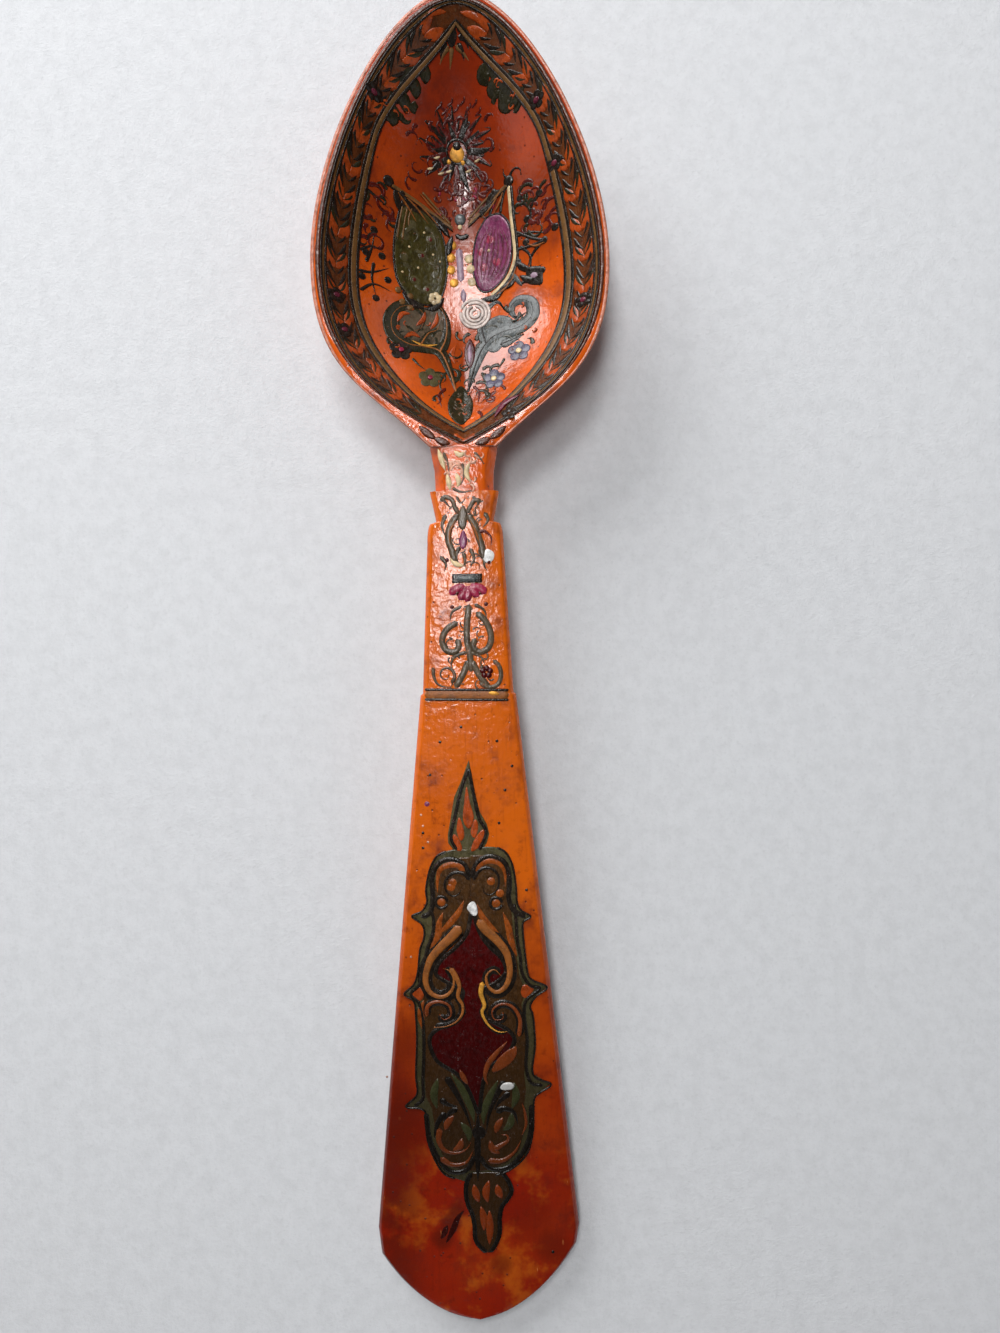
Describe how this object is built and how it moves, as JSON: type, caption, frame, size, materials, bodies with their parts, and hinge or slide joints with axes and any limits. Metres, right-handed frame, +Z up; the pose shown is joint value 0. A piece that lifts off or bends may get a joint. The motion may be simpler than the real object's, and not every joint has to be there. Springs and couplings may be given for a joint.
{
  "type": "painted wooden spoon",
  "caption": "Wooden spoon with a pointed oval bowl, a stepped neck and a flaring flat handle, lacquered and painted with raised ornament.",
  "frame": {"origin": "centre of the bounding box at its bottom, on the table that the spoon lies on", "axes": "+Y along the spoon towards the tip of the bowl, +X across it to the right, +Z up out of the bowl"},
  "size_m": [0.048, 0.22, 0.0172],
  "materials": {
    "orange_lacquer": "amber orange lacquer over carved wood, glossy",
    "red_lacquer": "red-brown to orange lacquer over carved wood, glossy",
    "olive_paint": "raised olive paint under varnish",
    "dark_paint": "raised near-black paint under varnish",
    "gilding": "gold paint under varnish",
    "maroon_paint": "dark red paint under varnish",
    "green_paint": "dark green paint under varnish",
    "purple_paint": "purple paint under varnish",
    "cream_paint": "cream paint under varnish",
    "rose_paint": "rose paint under varnish"
  },
  "bodies": {
    "root": {"bowl": "red_lacquer", "handle": "orange_lacquer", "border_band": "olive_paint", "border_gilt_line": "gilding", "sun_rays": "maroon_paint", "sun_disc": "gilding", "green_lobe": "green_paint", "purple_lobe": "purple_paint", "left_staff": "dark_paint", "left_finial": "dark_paint", "right_staff": "dark_paint", "right_finial": "dark_paint", "curved_pole": "gilding", "gilt_bead_1": "gilding", "gilt_bead_2": "gilding", "gilt_bead_3": "gilding", "gilt_bead_4": "gilding", "cream_bead_1": "cream_paint", "cream_bead_2": "cream_paint", "cream_bead_3": "cream_paint", "left_scroll": "olive_paint", "right_scroll": "olive_paint", "left_outer_flower": "dark_paint", "left_inner_flower": "dark_paint", "right_outer_flower": "dark_paint", "right_inner_flower": "dark_paint", "bud": "maroon_paint", "palmette": "olive_paint", "tip_pendant": "dark_paint", "shank_arch": "olive_paint", "arch_bud": "purple_paint", "shank_bar": "dark_paint", "shank_petals": "rose_paint", "shank_stem": "olive_paint", "left_c_scroll": "olive_paint", "right_c_scroll": "olive_paint", "left_foot_curl": "olive_paint", "right_foot_curl": "olive_paint", "gilt_band": "gilding", "spear_finial": "olive_paint", "medallion_frame": "olive_paint", "medallion_field": "maroon_paint", "left_gilt_scroll": "gilding", "right_gilt_scroll": "gilding", "pendant_leaf": "olive_paint"}
  },
  "joints": []
}
